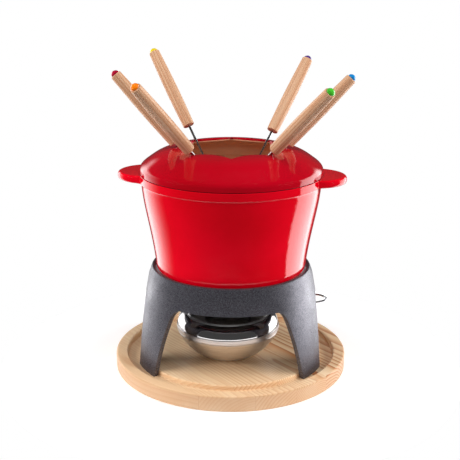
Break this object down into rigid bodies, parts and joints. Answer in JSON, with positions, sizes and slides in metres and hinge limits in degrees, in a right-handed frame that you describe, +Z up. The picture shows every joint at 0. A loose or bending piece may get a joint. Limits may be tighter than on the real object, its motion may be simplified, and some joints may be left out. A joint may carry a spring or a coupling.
{
  "type": "fondue pot set",
  "caption": "Enamelled cast-iron fondue pot with a star-mouthed fork ring on a three-legged stand over a burner, with wooden-gripped forks and a round grooved board.",
  "frame": {"origin": "centre of the board's underside, on the table", "axes": "+Z up, -Y towards the front, +X to the right seen from the front"},
  "size_m": [0.2505, 0.25, 0.3326],
  "materials": {
    "pine": "edge-glued pine staves, sanded, clear satin varnish",
    "black_cast_iron": "cast iron under a fine matt black paint",
    "red_enamel": "cast iron under glossy red vitreous enamel, brown enamel inside",
    "brushed_steel": "spun and brushed stainless steel",
    "polished_steel": "mirror-polished stainless steel",
    "wadding": "pressed mineral wadding",
    "steel_gauze": "woven steel wire gauze",
    "fork_steel": "drawn stainless steel rod",
    "beech": "turned beech, sanded and oiled",
    "orange_plastic": "moulded gloss plastic",
    "crimson_plastic": "moulded gloss plastic",
    "yellow_plastic": "moulded gloss plastic",
    "purple_plastic": "moulded gloss plastic",
    "blue_plastic": "moulded gloss plastic",
    "green_plastic": "moulded gloss plastic"
  },
  "bodies": {
    "board": {"serving_board": "pine"},
    "stand_body": {"stand": "black_cast_iron"},
    "pot_body": {"pot": "red_enamel"},
    "ring_body": {"fork_ring": "red_enamel"},
    "burner": {"burner_bowl": "brushed_steel", "burner_cover": "polished_steel", "fuel_cup": "brushed_steel", "absorbent_pad": "wadding", "gauze_disc": "steel_gauze"},
    "damper": {"damper_plate": "brushed_steel", "damper_handle": "polished_steel"},
    "orange_fork": {"orange_fork_steel": "fork_steel", "orange_fork_grip": "beech", "orange_fork_bead": "orange_plastic"},
    "crimson_fork": {"crimson_fork_steel": "fork_steel", "crimson_fork_grip": "beech", "crimson_fork_bead": "crimson_plastic"},
    "yellow_fork": {"yellow_fork_steel": "fork_steel", "yellow_fork_grip": "beech", "yellow_fork_bead": "yellow_plastic"},
    "purple_fork": {"purple_fork_steel": "fork_steel", "purple_fork_grip": "beech", "purple_fork_bead": "purple_plastic"},
    "blue_fork": {"blue_fork_steel": "fork_steel", "blue_fork_grip": "beech", "blue_fork_bead": "blue_plastic"},
    "green_fork": {"green_fork_steel": "fork_steel", "green_fork_grip": "beech", "green_fork_bead": "green_plastic"}
  },
  "joints": [
    {"name": "stand_lift", "type": "slide", "parent": "board", "child": "stand_body", "axis": [0, 0, 1], "range_m": [0, 0.12]},
    {"name": "pot_lift", "type": "slide", "parent": "stand_body", "child": "pot_body", "axis": [0, 0, 1], "range_m": [0, 0.06]},
    {"name": "fork_ring_lift", "type": "slide", "parent": "pot_body", "child": "ring_body", "axis": [0, 0, 1], "range_m": [0, 0.15]},
    {"name": "burner_slide", "type": "slide", "parent": "board", "child": "burner", "axis": [0.8783, 0.4769, 0.035], "range_m": [0, 0.2]},
    {"name": "damper_turn", "type": "hinge", "parent": "burner", "child": "damper", "pos_m": [-0.003, -0.008, 0.0531], "axis": [0, 0, 1], "range_deg": [-15, 15]},
    {"name": "orange_fork_pull", "type": "slide", "parent": "ring_body", "child": "orange_fork", "axis": [-0.5162, -0.4487, 0.7296], "range_m": [0, 0.185]},
    {"name": "crimson_fork_pull", "type": "slide", "parent": "ring_body", "child": "crimson_fork", "axis": [-0.6468, 0.0282, 0.7621], "range_m": [0, 0.185]},
    {"name": "yellow_fork_pull", "type": "slide", "parent": "ring_body", "child": "yellow_fork", "axis": [-0.4213, 0.3861, 0.8207], "range_m": [0, 0.185]},
    {"name": "purple_fork_pull", "type": "slide", "parent": "ring_body", "child": "purple_fork", "axis": [0.4137, 0.441, 0.7965], "range_m": [0, 0.185]},
    {"name": "blue_fork_pull", "type": "slide", "parent": "ring_body", "child": "blue_fork", "axis": [0.6773, -0.0177, 0.7355], "range_m": [0, 0.185]},
    {"name": "green_fork_pull", "type": "slide", "parent": "ring_body", "child": "green_fork", "axis": [0.5131, -0.499, 0.6984], "range_m": [0, 0.185]}
  ]
}
